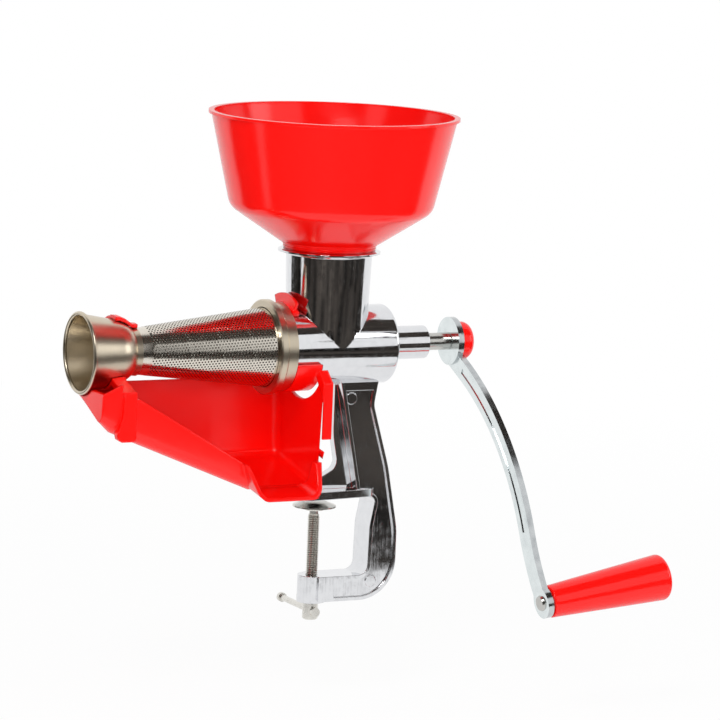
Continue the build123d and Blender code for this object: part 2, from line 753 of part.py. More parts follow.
with BuildPart() as juice_chute:
    add(tub(0))
    add(spout(0, chute_lip_rise, chute_lip_root, chute_lip_reach))
    add(tub(chute_wall), mode=Mode.SUBTRACT)
    past_lip = chute_lip_reach + 4
    add(spout(chute_wall, chute_lip_rise + 24, chute_lip_root + 4, past_lip), mode=Mode.SUBTRACT)
    # the rim: level along the sump, stepping up to the post, low under the bell
    rim = profile(side_plane(y=chute_half_width + 5), [
        (chute_bow_x - 1, chute_nose_rim_z),
        (post_front_x, chute_nose_rim_z + chute_nose_slope * (post_front_x - chute_bow_x)),
        (post_front_x, post_top_z),
        (post_rear_x, post_top_z),
        (post_rear_x, chute_rim_z),
        (chute_end_x - chute_wall, chute_rim_z),
        (chute_end_x - chute_wall, post_top_z),
        (chute_end_x + 1, post_top_z),
        (chute_end_x + 1, chute_loft_z + 1),
        (chute_bow_x - 1, chute_loft_z + 1),
    ])
    extrude(rim, amount=2 * chute_half_width + 10, mode=Mode.SUBTRACT)
    bell_room = trumpet_rim_radius + trumpet_bead_radius + chute_bell_gap
    with BuildSketch(axis_plane(chute_bow_x - 1)):
        Circle(bell_room)
    extrude(amount=post_rear_x - chute_bow_x, mode=Mode.SUBTRACT)
    # the near wall falls from the post to the pouring lip
    near_cut = profile(side_plane(y=-chute_half_width - 4), [
        (post_rear_x, post_top_z + 1),
        (post_rear_x + 3, post_cut_z),
        (chute_spout_left_x - chute_spout_flare * chute_spout_height / 2, chute_spout_height),
        (chute_end_x - chute_wall, chute_spout_height),
        (chute_end_x - chute_wall, post_top_z + 1),
    ])
    extrude(near_cut, amount=-chute_floor_radius - 8, mode=Mode.SUBTRACT)
    # the lip's cheeks slope out to its edge
    lip_y = -chute_half_width - chute_lip_reach
    slant = profile(axis_plane(chute_spout_left_x - 20), [
        (-chute_half_width - 1, chute_spout_height - axis_z),
        (lip_y + 1, chute_sump_z - 1 - axis_z),
        (lip_y - 5, chute_sump_z - 1 - axis_z),
        (lip_y - 5, post_top_z - axis_z),
        (-chute_half_width - 1, post_top_z - axis_z),
    ])
    extrude(slant, amount=chute_end_x - chute_spout_left_x + 30, mode=Mode.SUBTRACT)
    # end wall: cut round the barrel, with a window under the clip
    with BuildSketch(axis_plane(chute_end_x - 10)):
        Circle(chute_window_radius)
    extrude(amount=20, mode=Mode.SUBTRACT)
    # brackets that carry the barrel clip, the near one with a tab below it
    bracket_x = chute_end_x - chute_wall - 1
    bracket = profile(axis_plane(bracket_x), [
        (-chute_half_width, chute_rim_z - 8 - axis_z),
        (-chute_half_width, chute_rim_z + 7 - axis_z),
        ring_point(clip_outer_radius + 0.5, -24),
        ring_point(clip_outer_radius - 1, -34),
        (-chute_half_width + chute_wall, chute_rim_z - 4 - axis_z),
        (-chute_half_width + chute_wall, chute_rim_z - 8 - axis_z),
    ])
    near_bracket = extrude(bracket, amount=clip_front_x + clip_width - bracket_x)
    far_bracket = split(near_bracket, Plane.YZ.offset(chute_end_x), keep=Keep.BOTTOM, mode=Mode.PRIVATE)
    mirror(far_bracket, about=Plane.XZ)
    tab = profile(side_plane(y=-chute_half_width), [
        (chute_end_x - chute_wall, chute_rim_z - 6),
        (chute_end_x - chute_wall, chute_tab_foot_z),
        (clip_front_x + clip_width, chute_tab_foot_z),
        (clip_front_x + clip_width, chute_rim_z - 6),
    ])
    extrude(tab, amount=-chute_wall)
    # clip round the barrel: a finger on the near side, a long arm round the back
    finger_x = clip_front_x - clip_finger_lead
    rib_x = clip_front_x - clip_rib_lead
    finger = band(finger_x, clip_finger_width, clip_inner_radius, clip_outer_radius)
    arm = band(finger_x, clip_arm_width, clip_inner_radius, clip_outer_radius)
    rib = band(rib_x, chute_wall, clip_outer_radius - 1, clip_rib_radius)
    add(ring_sector(finger, clip_finger_angles))
    add(ring_sector(arm, clip_arm_angles))
    add(ring_sector(rib, clip_rib_angles))
    # post on the near wall
    post_y = -chute_half_width - post_proud
    post = profile(side_plane(y=post_y), [
        (post_front_x + 1, post_top_z),
        (post_front_x, (post_top_z + post_foot_z) / 2),
        (post_front_x - post_slant, post_foot_z + 6),
        (post_front_x - post_slant + 1, post_foot_z + 2),
        (post_front_x - post_slant + 4, post_foot_z),
        (post_rear_x - 2, post_foot_z),
        (post_rear_x, post_foot_z + 1),
        (post_rear_x, post_top_z),
    ])
    extrude(post, amount=-post_proud - chute_wall - 2)
    # bulkhead under the bell, and the cradle that joins it to both walls
    with BuildSketch(axis_plane(post_rear_x - chute_wall)):
        add(profile(Plane.XY, [
            (-chute_half_width + 8, bulkhead_low_z - axis_z),
            (chute_half_width - 6, bulkhead_high_z - axis_z),
            (chute_half_width - 1, post_top_z - axis_z),
            (-chute_half_width + 1, post_top_z - axis_z),
        ]))
        Circle(bell_gap_radius(trumpet_taper_x), mode=Mode.SUBTRACT)
    extrude(amount=chute_wall)
    cradle = [
        (post_front_x, bell_gap_radius(post_front_x)),
        (trumpet_taper_x, bell_gap_radius(trumpet_taper_x)),
        (post_rear_x, bell_gap_radius(trumpet_taper_x)),
        (post_rear_x, bell_gap_radius(trumpet_taper_x) + chute_wall),
        (post_front_x, bell_gap_radius(post_front_x) + chute_wall),
    ]
    add(ring_sector(cradle, cradle_angles))
    cradle_edge = bell_gap_radius(post_front_x) + chute_wall / 2
    web = profile(axis_plane(post_front_x), [
        (post_y, post_top_z - 3 - axis_z),
        (post_y, post_top_z - 1 - axis_z),
        (post_y + 1, post_top_z - axis_z),
        ring_point(cradle_edge + chute_wall / 2, cradle_angles[1]),
        ring_point(cradle_edge, cradle_angles[1]),
        ring_point(cradle_edge, cradle_angles[1] - 14),
        (-chute_half_width + 3, post_top_z - 4 - axis_z),
    ])
    near_web = extrude(web, amount=post_rear_x - post_front_x)
    mirror(near_web, about=Plane.XZ)
    # arm round the far side of the bell's shoulder, with the tip that rests on it
    shoulder = [
        (neck_arm_front_x, bell_gap_radius(neck_arm_front_x)),
        (trumpet_taper_x + 5, trumpet_taper_radius),
        (trumpet_shoulder_x, trumpet_shoulder_radius + 4 * seat_gap),
        (cone_small_x, cone_small_radius + trumpet_sheet + 4 * seat_gap),
        (trumpet_sleeve_x, cone_radius(trumpet_sleeve_x) + trumpet_sheet + seat_gap),
    ]
    for height, angles in [(chute_wall, neck_arm_angles), (neck_tip_height, neck_tip_angles)]:
        outside = [(x, radius + height) for x, radius in reversed(shoulder)]
        add(ring_sector(shoulder + outside, angles))
juice_chute.part.label = "juice_chute"
export_step(juice_chute.part, "parts/juice_chute.step")

# ---- hopper: a bowl with a rolled lip on a neck that plugs into the inlet ----
with BuildPart() as hopper:
    with BuildSketch(side_plane(x=inlet_x)):
        with BuildLine():
            FilletPolyline(
                (hopper_rim_radius, hopper_top_z - hopper_wall),
                (hopper_waist_radius, hopper_waist_z),
                (hopper_throat_radius, hopper_neck_z),
                radius=hopper_waist_fillet,
            )
            ring_z = (inlet_top_z + hopper_neck_z) / 2 - hopper_bead_height / 2
            Polyline(
                (hopper_throat_radius, hopper_neck_z),
                (hopper_bead_radius, hopper_neck_z),
                (hopper_bead_radius, hopper_neck_z - hopper_bead_height),
                (hopper_neck_radius, hopper_neck_z - hopper_bead_height),
                (hopper_neck_radius, ring_z),
                (hopper_ring_radius, ring_z),
                (hopper_ring_radius, ring_z - hopper_ring_height),
                (hopper_neck_radius, ring_z - hopper_ring_height),
                (hopper_neck_radius, inlet_top_z),
                (spigot_radius, inlet_top_z),
                (spigot_radius, hopper_spigot_foot_z),
                (spigot_radius - hopper_wall, hopper_spigot_foot_z),
                (spigot_radius - hopper_wall, hopper_neck_z),
                (hopper_throat_radius - 2 * hopper_wall, hopper_neck_z + hopper_wall),
            )
            FilletPolyline(
                (hopper_throat_radius - 2 * hopper_wall, hopper_neck_z + hopper_wall),
                (hopper_waist_radius - hopper_wall - 0.6, hopper_waist_z + hopper_wall - 1.0),
                (hopper_rim_radius - hopper_wall, hopper_top_z - hopper_wall),
                radius=hopper_waist_fillet - hopper_wall,
            )
            Polyline(
                (hopper_rim_radius - hopper_wall, hopper_top_z - hopper_wall),
                (hopper_rim_radius - hopper_wall, hopper_top_z),
                (hopper_lip_radius, hopper_top_z),
                (hopper_lip_radius, hopper_top_z - hopper_wall),
                (hopper_rim_radius, hopper_top_z - hopper_wall),
            )
        make_face()
    revolve(axis=inlet_axis)
hopper.part.label = "hopper"
export_step(hopper.part, "parts/hopper.step")

# ---- crank arm: a stamped strip, curved in its own plane and leaning outwards ----
lean_plane = Plane(
    origin=(shaft_shoulder_x, 0, axis_z),
    x_dir=(0, 1, 0),
    z_dir=(cos(radians(arm_lean)), 0, sin(radians(arm_lean))),
)
with BuildLine() as arm_spine:
    heading = radians(arm_start_heading)
    start = (arm_start[0] + arm_lead * sin(heading), arm_start[1] + arm_lead * cos(heading))
    Line(start, arm_start)
    upper = JernArc(
        start=arm_start,
        tangent=(-sin(heading), -cos(heading)),
        radius=arm_bend_radius,
        arc_size=arm_start_heading - arm_mid_heading,
    )
    lower = JernArc(
        start=upper @ 1,
        tangent=upper % 1,
        radius=arm_toe_radius,
        arc_size=-(arm_toe_heading - arm_mid_heading),
    )
eye = lower @ 1

with BuildPart() as crank_arm:
    # outline of the blade, seen square to the lean
    with BuildSketch(lean_plane):
        trace(arm_spine.line, arm_width)
        with Locations((eye.X, eye.Y)):
            Circle(arm_eye_radius)
    extrude(amount=arm_sheet)
    # flat hub eye on the shaft, and the strip below it is cut off the leaning blade
    with BuildSketch(axis_plane(shaft_shoulder_x - arm_hub_radius)):
        Circle(arm_hub_radius - 1)
    extrude(amount=3 * arm_hub_radius, mode=Mode.SUBTRACT)
    with BuildSketch(axis_plane(shaft_shoulder_x)):
        Circle(arm_hub_radius)
    extrude(amount=arm_sheet)
    with BuildSketch(axis_plane(shaft_shoulder_x)):
        Circle(shaft_end_radius)
        Rectangle(2 * shaft_end_radius, shaft_end_flats, mode=Mode.INTERSECT)
    extrude(amount=arm_sheet, mode=Mode.SUBTRACT)
    # pressed groove along the blade, and the rivet hole in the eye
    with BuildSketch(lean_plane):
        trace(upper, arm_groove_width)
    extrude(amount=arm_groove_depth, mode=Mode.SUBTRACT)
    with BuildSketch(lean_plane):
        with Locations((eye.X, eye.Y)):
            Circle(grip_pin_radius)
    extrude(amount=arm_sheet, mode=Mode.SUBTRACT)
crank_arm.part.label = "crank_arm"
export_step(crank_arm.part, "parts/crank_arm.step")

# ---- grip on its riveted pin ----
grip_plane = Plane(
    origin=lean_plane.from_local_coords((eye.X, eye.Y, 0)),
    x_dir=(0, 1, 0),
    z_dir=lean_plane.z_dir,
)
grip_start = arm_sheet + grip_washer_thickness
with BuildPart() as grip_washer:
    with BuildSketch(grip_plane.offset(arm_sheet)):
        Circle(grip_washer_radius)
        Circle(grip_pin_radius, mode=Mode.SUBTRACT)
    extrude(amount=grip_washer_thickness)
grip_washer.part.label = "grip_washer"
export_step(grip_washer.part, "parts/grip_washer.step")

pin_head_start = grip_start + free_gap + grip_length - grip_recess_depth + free_gap
with BuildPart() as grip_pin:
    with BuildSketch(grip_plane):
        Circle(grip_pin_radius)
    extrude(amount=pin_head_start)
    with BuildSketch(grip_plane.offset(-rivet_head_height)):
        Circle(rivet_head_radius)
    extrude(amount=rivet_head_height, taper=-25)
    with BuildSketch(grip_plane.offset(pin_head_start)):
        Circle(pin_head_radius)
    extrude(amount=pin_head_height)
grip_pin.part.label = "grip_pin"
export_step(grip_pin.part, "parts/grip_pin.step")

with BuildPart() as grip:
    with BuildSketch(grip_plane.offset(grip_start + free_gap)):
        Circle(grip_small_radius)
    with BuildSketch(grip_plane.offset(grip_start + free_gap + grip_length)):
        Circle(grip_large_radius)
    loft()
    outer_rim = grip.edges().filter_by(GeomType.CIRCLE).sort_by(Axis.X)[-1]
    fillet(outer_rim, grip_end_fillet)
    inner_rim = grip.edges().filter_by(GeomType.CIRCLE).sort_by(Axis.X)[0]
    fillet(inner_rim, 1.0)
    with BuildSketch(grip_plane.offset(grip_start)):
        Circle(grip_pin_radius + shaft_play)
    extrude(amount=grip_length + 2, mode=Mode.SUBTRACT)
    with BuildSketch(grip_plane.offset(grip_start + free_gap + grip_length)):
        Circle(pin_head_radius + free_gap)
    extrude(amount=-grip_recess_depth, mode=Mode.SUBTRACT)
grip.part.label = "grip"
export_step(grip.part, "parts/grip.step")

# ---- knob that screws the crank arm onto the shaft ----
with BuildPart() as knob_stud:
    with BuildSketch(axis_plane(shaft_end_x - stud_depth)):
        Circle(stud_radius)
    extrude(amount=stud_depth + knob_depth / 2)
knob_stud.part.label = "knob_stud"
export_step(knob_stud.part, "parts/knob_stud.step")

with BuildPart() as crank_knob:
    with BuildSketch(axis_plane(shaft_end_x)):
        Circle(knob_radius)
    extrude(amount=knob_depth)
    fillet(crank_knob.edges().filter_by(GeomType.CIRCLE).sort_by(Axis.X)[-1], knob_dome)
    fillet(crank_knob.edges().filter_by(GeomType.CIRCLE).sort_by(Axis.X)[0], 1.5)
    with BuildSketch(axis_plane(shaft_end_x)):
        Circle(stud_radius)
    extrude(amount=knob_depth / 2, mode=Mode.SUBTRACT)
crank_knob.part.label = "crank_knob"
export_step(crank_knob.part, "parts/crank_knob.step")

# ---- clamp screw with its pressure pad and sliding tommy bar ----
pad_foot_z = pad_top_z - pad_hub_height
hub_top_z = clamp_boss_bottom_z - screw_hub_gap
bar_z = hub_top_z - screw_hub_height / 2
with BuildPart() as clamp_pad:
    dish = [
        (0, pad_top_z),
        (pad_hub_radius + 2, pad_top_z),
        (pad_radius - 1, pad_top_z - pad_dish),
        (pad_radius, pad_top_z - pad_dish - 0.5),
        (pad_radius, pad_top_z - pad_dish - pad_sheet),
        (pad_radius - 1.5, pad_top_z - pad_dish - pad_sheet),
        (pad_hub_radius + 1, pad_top_z - pad_sheet),
        (pad_hub_radius, pad_foot_z),
        (screw_neck_radius + shaft_play, pad_foot_z),
        (screw_neck_radius + shaft_play, pad_foot_z + 3),
        (screw_tip_radius + shaft_play, pad_foot_z + 3),
        (screw_tip_radius + shaft_play, pad_foot_z + 5),
        (0, pad_foot_z + 5),
    ]
    revolve(profile(side_plane(), dish), axis=Axis.Z)
clamp_pad.part.label = "clamp_pad"
export_step(clamp_pad.part, "parts/clamp_pad.step")

with BuildPart() as clamp_screw:
    stem = [
        (0, pad_foot_z + 5 - shaft_play),
        (screw_tip_radius, pad_foot_z + 5 - shaft_play),
        (screw_tip_radius, pad_foot_z + 3 + shaft_play),
        (screw_neck_radius, pad_foot_z + 3 + shaft_play),
        (screw_neck_radius, pad_foot_z - 3),
        (screw_radius - thread_play, pad_foot_z - 4.5),
        (screw_radius - thread_play, hub_top_z),
        (screw_hub_radius - 1, hub_top_z),
        (screw_hub_radius, hub_top_z - 1),
        (screw_hub_radius, hub_top_z - screw_hub_height + 1),
        (screw_hub_radius - 1, hub_top_z - screw_hub_height),
        (0, hub_top_z - screw_hub_height),
    ]
    revolve(profile(side_plane(), stem), axis=Axis.Z)
    with BuildSketch(side_plane(y=screw_hub_radius, z=bar_z)):
        Circle(bar_radius + shaft_play)
    extrude(amount=2 * screw_hub_radius, mode=Mode.SUBTRACT)
clamp_screw.part.label = "clamp_screw"
export_step(clamp_screw.part, "parts/clamp_screw.step")

bar_near_y = -(screw_hub_radius + free_gap)
with BuildPart() as tommy_bar:
    with BuildSketch(side_plane(y=bar_near_y, z=bar_z)):
        Circle(bar_radius)
    extrude(amount=-bar_length)
    with BuildSketch(side_plane(y=bar_near_y, z=bar_z)):
        Circle(bar_head_radius)
    extrude(amount=bar_head_length)
tommy_bar.part.label = "tommy_bar"
export_step(tommy_bar.part, "parts/tommy_bar.step")

with BuildPart() as tommy_bar_cap:
    with BuildSketch(side_plane(y=bar_near_y + bar_length, z=bar_z)):
        Circle(bar_head_radius)
    extrude(amount=-bar_head_length)
tommy_bar_cap.part.label = "tommy_bar_cap"
export_step(tommy_bar_cap.part, "parts/tommy_bar_cap.step")
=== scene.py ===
import bpy
from math import atan2, cos, degrees, hypot, pi, radians, sin, sqrt
from mathutils import Matrix, Vector
from mathutils.geometry import delaunay_2d_cdt


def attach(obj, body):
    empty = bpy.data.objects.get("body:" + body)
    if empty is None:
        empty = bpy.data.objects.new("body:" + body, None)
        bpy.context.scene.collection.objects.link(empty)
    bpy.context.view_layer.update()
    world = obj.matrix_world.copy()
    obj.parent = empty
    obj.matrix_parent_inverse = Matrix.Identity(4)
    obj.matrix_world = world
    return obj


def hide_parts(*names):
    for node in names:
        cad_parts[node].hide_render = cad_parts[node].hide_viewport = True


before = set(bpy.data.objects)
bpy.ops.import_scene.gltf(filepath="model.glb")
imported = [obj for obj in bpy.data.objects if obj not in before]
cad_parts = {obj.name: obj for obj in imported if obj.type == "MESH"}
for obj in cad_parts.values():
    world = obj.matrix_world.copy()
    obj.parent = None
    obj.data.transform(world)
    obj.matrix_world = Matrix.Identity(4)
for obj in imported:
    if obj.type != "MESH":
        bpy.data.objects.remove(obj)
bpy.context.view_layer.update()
mm = 0.001
axisZ = 122.7 * mm  # height of the auger above the table face
inletX = 4.5 * mm  # the filling tube's axis


# colours and materials

def hexLinear(value):
    # sRGB hex to the linear values that the shader wants
    channels = [int(value[i:i + 2], 16) / 255 for i in (1, 3, 5)]
    return [c / 12.92 if c <= 0.04045 else ((c + 0.055) / 1.055) ** 2.4 for c in channels] + [1.0]


def perSize(size):
    # noise scale for features of this size in mm
    return 1 / (size * mm)


def addNode(tree, kind, settings=None, inputs=None, links=None):
    # inputs and links are named, or numbered where a node has two of one name
    node = tree.nodes.new(kind)
    for name, value in (settings or {}).items():
        setattr(node, name, value)
    for name, value in (inputs or {}).items():
        node.inputs[name].default_value = value
    for name, source in (links or {}).items():
        tree.links.new(source, node.inputs[name])
    return node


def startMaterial(name, metallic=0.0):
    material = bpy.data.materials.new(name)
    material.use_nodes = True
    tree = material.node_tree
    shader = tree.nodes["Principled BSDF"]
    shader.inputs["Metallic"].default_value = metallic
    place = addNode(tree, "ShaderNodeTexCoord").outputs["Object"]
    return material, tree, shader, place


def tintAndGloss(tree, shader, tintPattern, colours, glossPattern, roughness, span=(0.0, 1.0)):
    # colour and roughness wander between two values along their patterns
    tint = addNode(tree, "ShaderNodeMix", {"data_type": "RGBA"},
                   {6: hexLinear(colours[0]), 7: hexLinear(colours[1])}, {"Factor": tintPattern})
    gloss = addNode(tree, "ShaderNodeMapRange", None, {
        "From Min": span[0], "From Max": span[1], "To Min": roughness[0], "To Max": roughness[1],
    }, {"Value": glossPattern})
    tree.links.new(tint.outputs[2], shader.inputs["Base Color"])
    tree.links.new(gloss.outputs["Result"], shader.inputs["Roughness"])


def reliefAndEdge(tree, shader, pattern, height, edge=0.0):
    # height and edge in mm
    relief = addNode(tree, "ShaderNodeBump", None,
                     {"Strength": 1.0, "Distance": height * mm}, {"Height": pattern})
    if edge:  # no mould or polished edge is knife sharp
        rounded = addNode(tree, "ShaderNodeBevel", {"samples": 6}, {"Radius": edge * mm})
        tree.links.new(rounded.outputs["Normal"], relief.inputs["Normal"])
    tree.links.new(relief.outputs["Normal"], shader.inputs["Normal"])


moulded = {
    "ior": 1.49,  # polypropylene
    "sinkWave": 45.45, "sinkDepth": 0.6,  # mm; a thick moulding sinks in waves about 45 mm long
    "grain": 1.111,  # mm; mould grain is some 0.05 mm, drawn coarser so that it shows
    "glossier": 0.03, "duller": 0.05,
}


def mouldedPlastic(name, base, shade, roughness, edge=0.9):
    # injection-moulded plastic: deep even colour under a soft gloss, with the
    # shallow sink waves of a thick moulding that make its highlights wander
    material, tree, shader, place = startMaterial(name)
    shader.inputs["IOR"].default_value = moulded["ior"]
    waves = addNode(tree, "ShaderNodeTexNoise", None,
                    {"Scale": perSize(moulded["sinkWave"]), "Detail": 2.0}, {"Vector": place})
    grain = addNode(tree, "ShaderNodeTexNoise", None,
                    {"Scale": perSize(moulded["grain"]), "Detail": 3.0}, {"Vector": place})
    tintAndGloss(tree, shader, waves.outputs["Fac"], (base, shade), grain.outputs["Fac"],
                 (roughness - moulded["glossier"], roughness + moulded["duller"]))
    reliefAndEdge(tree, shader, waves.outputs["Fac"], moulded["sinkDepth"], edge)
    return material


polish = {
    "wave": 35.71, "waveHeight": 0.4, "edge": 0.8,  # mm; a hand polish leaves the metal a little wavy
    "haze": 6.25,  # mm; patches where the wheel stayed longer
    "lineWidth": 0.7692, "lineLength": 33.33,  # mm; real wheel lines are 0.05 mm wide, drawn coarser to show
    "colours": ("#E4E5E7", "#DADBDE"), "roughness": (0.04, 0.2), "span": (0.15, 0.45),
}


def polishedCasting(name):
    # die-cast aluminium, polished by hand: near-mirror, a little wavy, with a
    # fine haze where the wheel passed
    material, tree, shader, place = startMaterial(name, 1.0)
    waves = addNode(tree, "ShaderNodeTexNoise", None,
                    {"Scale": perSize(polish["wave"]), "Detail": 1.0}, {"Vector": place})
    haze = addNode(tree, "ShaderNodeTexNoise", None,
                   {"Scale": perSize(polish["haze"]), "Detail": 4.0}, {"Vector": place})
    across, along = perSize(polish["lineWidth"]), perSize(polish["lineLength"])
    wheel = addNode(tree, "ShaderNodeMapping", None, {"Scale": (across, across, along)}, {"Vector": place})
    lines = addNode(tree, "ShaderNodeTexNoise", None,
                    {"Scale": 1.0, "Detail": 3.0}, {"Vector": wheel.outputs["Vector"]})
    hazeAndLines = addNode(tree, "ShaderNodeMath", {"operation": "MULTIPLY"}, None,
                           {0: haze.outputs["Fac"], 1: lines.outputs["Fac"]})
    tintAndGloss(tree, shader, haze.outputs["Fac"], polish["colours"],
                 hazeAndLines.outputs[0], polish["roughness"], polish["span"])
    reliefAndEdge(tree, shader, waves.outputs["Fac"], polish["waveHeight"], polish["edge"])
    return material


satin = {
    "ringWidth": 0.3333, "ringLength": 16.67,  # mm; belt scratches are 0.06 mm wide, drawn coarser to show
    "ringDepth": 0.0005, "glossier": 0.03, "duller": 0.04,
}


def satinSteel(name, base, shade, roughness):
    # spun stainless steel with a satin finish: rings of fine scratches round
    # the auger axis spread each highlight along the piece
    material, tree, shader, place = startMaterial(name, 1.0)
    across, along = perSize(satin["ringWidth"]), perSize(satin["ringLength"])
    stretch = addNode(tree, "ShaderNodeMapping", None, {"Scale": (across, along, along)}, {"Vector": place})
    rings = addNode(tree, "ShaderNodeTexNoise", None,
                    {"Scale": 1.0, "Detail": 2.0}, {"Vector": stretch.outputs["Vector"]})
    tintAndGloss(tree, shader, rings.outputs["Fac"], (base, shade), rings.outputs["Fac"],
                 (roughness - satin["glossier"], roughness + satin["duller"]))
    reliefAndEdge(tree, shader, rings.outputs["Fac"], satin["ringDepth"])
    return material


zinc = {
    "blotch": 8.333,  # mm; the bath leaves blotches about 8 mm across
    "glossier": 0.06, "duller": 0.1, "span": (0.3, 0.7),
}


def zincPlate(name, base, shade, roughness, height=0.03):
    # bright zinc plating on cold-rolled steel: bluish, with faint blotches
    material, tree, shader, place = startMaterial(name, 1.0)
    blotch = addNode(tree, "ShaderNodeTexNoise", None,
                     {"Scale": perSize(zinc["blotch"]), "Detail": 5.0}, {"Vector": place})
    tintAndGloss(tree, shader, blotch.outputs["Fac"], (base, shade), blotch.outputs["Fac"],
                 (roughness - zinc["glossier"], roughness + zinc["duller"]), zinc["span"])
    reliefAndEdge(tree, shader, blotch.outputs["Fac"], height)
    return material


def sealRubber(name):
    # moulded nitrile rubber: almost black, dull, with specks of dust 2 mm apart
    material, tree, shader, place = startMaterial(name)
    dust = addNode(tree, "ShaderNodeTexNoise", None, {"Scale": perSize(2), "Detail": 3.0}, {"Vector": place})
    tintAndGloss(tree, shader, dust.outputs["Fac"], ("#1B1B1C", "#262627"), dust.outputs["Fac"], (0.5, 0.65))
    return material


redPlastic = mouldedPlastic("mouldedRedPolypropylene", "#FB0A04", "#F40803", 0.17)
# the tub's mould has rounder edges than the other red pieces
chutePlastic = mouldedPlastic("mouldedRedPolypropyleneTub", "#FB0A04", "#F40803", 0.19, 2.4)
augerPlastic = mouldedPlastic("mouldedIvoryAcetal", "#E9E4D8", "#E1DCCF", 0.3)  # creamy, soft sheen
bushPlastic = mouldedPlastic("turnedNaturalNylon", "#DED9CC", "#D5D0C2", 0.4)  # creamy, nearly dull
castAluminium = polishedCasting("polishedAluminiumCasting")
warmSteel = satinSteel("satinStainlessSteel", "#D3C8B4", "#CDC1AC", 0.29)  # champagne tint, blurred bands
sieveSteel = satinSteel("perforatedStainlessSheet", "#E6E0D5", "#DAD3C7", 0.17)  # bright, between dark holes
sieveShadedInside = satinSteel("stainlessSheetPaintedShade", "#4C4A46", "#3E3C39", 0.4)  # painted shade: the inside and the hole walls are darkened as shade so the holes read dark; rougher, as unpolished
plainSteel = satinSteel("turnedStainlessSteel", "#C9C8C4", "#BBBAB6", 0.22)  # grey, clear highlights
armZinc = zincPlate("brightZincPlatedSteel", "#E6ECEC", "#D8E0E1", 0.14)
shearedEdge = zincPlate("shearedSteelEdge", "#D5D8D9", "#A9AEB1", 0.16)  # torn by the shear, so patchier
screwZinc = zincPlate("zincPlatedScrewSteel", "#E4E2DC", "#DAD8D1", 0.24, 0.006)  # yellower, duller
threadRootShade = zincPlate("threadRootPaintedShadeSteel", "#B4B1A9", "#A09D95", 0.4, 0.006)  # painted shade: the thread's roots are darker, as shade falls in them; duller too
rubber = sealRubber("mouldedNitrileRubber")
print("materials made")


# carried-over construction

nodeFinish = {
    "body_casting": castAluminium, "shaft_bush": bushPlastic, "shaft_seal": rubber,
    "bayonet_pins": plainSteel,
    "cone_gasket": rubber, "collar_ring": warmSteel, "strainer_cone": sieveSteel, "waste_trumpet": warmSteel,
    "juice_chute": chutePlastic, "auger": augerPlastic, "auger_spring": plainSteel, "drive_shaft": plainSteel,
    "thrust_washer": plainSteel, "crank_arm": armZinc, "crank_knob": redPlastic, "knob_stud": plainSteel,
    "grip_pin": plainSteel, "grip_washer": armZinc, "grip": redPlastic, "hopper": redPlastic,
    "clamp_pad": screwZinc, "clamp_screw": screwZinc, "tommy_bar": screwZinc, "tommy_bar_cap": screwZinc,
}
for nodeName, finish in nodeFinish.items():
    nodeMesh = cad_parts[nodeName].data
    nodeMesh.materials.clear()
    nodeMesh.materials.append(finish)


def selectOnly(*objects):
    bpy.ops.object.select_all(action="DESELECT")
    for thing in objects:
        thing.select_set(True)
    bpy.context.view_layer.objects.active = objects[0]


def selectNothingInside():
    # a new mesh is selected all over, so nothing in it may stay selected
    bpy.ops.object.mode_set(mode="EDIT")
    bpy.ops.mesh.select_all(action="DESELECT")
    bpy.ops.object.mode_set(mode="OBJECT")


def deleteSelected(kind):
    bpy.ops.object.mode_set(mode="EDIT")
    bpy.ops.mesh.delete(type=kind)
    bpy.ops.object.mode_set(mode="OBJECT")


def closeMesh(gap, capEnds=False):
    # doubles merged, open ends capped where asked, and every face turned outwards
    bpy.ops.object.mode_set(mode="EDIT")
    bpy.ops.mesh.select_all(action="SELECT")
    bpy.ops.mesh.remove_doubles(threshold=gap)
    if capEnds:
        bpy.ops.mesh.select_all(action="DESELECT")
        bpy.ops.mesh.select_non_manifold()
        bpy.ops.mesh.fill_holes(sides=0)
        bpy.ops.mesh.select_all(action="SELECT")
    bpy.ops.mesh.normals_make_consistent(inside=False)
    bpy.ops.object.mode_set(mode="OBJECT")


def smoothCopy(nodeName, body, finish, angle=32):
    # the node's own shape with its triangles joined, so that gloss runs over it
    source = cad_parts[nodeName]
    piece = bpy.data.objects.new(nodeName + "_skin", source.data.copy())
    bpy.context.scene.collection.objects.link(piece)
    piece.data.materials.clear()
    piece.data.materials.append(finish)
    selectOnly(piece)
    bpy.ops.object.mode_set(mode="EDIT")
    bpy.ops.mesh.select_all(action="SELECT")
    bpy.ops.mesh.customdata_custom_splitnormals_clear()
    bpy.ops.mesh.remove_doubles(threshold=0.002 * mm)
    bpy.ops.object.mode_set(mode="OBJECT")
    bpy.ops.object.shade_smooth_by_angle(angle=radians(angle))
    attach(piece, body)
    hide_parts(nodeName)
    return piece


for nodeName, body, slot in [
    ("body_casting", "frame", "cast_aluminium"), ("juice_chute", "frame", "red_plastic"),
    ("collar_ring", "frame", "champagne_steel"), ("waste_trumpet", "frame", "champagne_steel"),
    ("hopper", "hopper", "red_plastic"), ("grip", "grip", "red_plastic"),
    ("crank_knob", "crank", "red_plastic"), ("crank_arm", "crank", "zinc_steel"),
    ("drive_shaft", "crank", "stainless_steel"), ("clamp_pad", "pad", "zinc_steel"),
    ("auger", "crank", "auger_plastic"),
    ("tommy_bar", "tommy_bar", "screw_steel"), ("tommy_bar_cap", "tommy_bar", "screw_steel"),
    ("grip_pin", "crank", "stainless_steel"), ("grip_washer", "crank", "zinc_steel"),
]:
    smoothCopy(nodeName, body, nodeFinish[nodeName])
print("construction dressed")


# strainer cone: a perforated sheet drawn flat, then rolled, its seam low on the far side

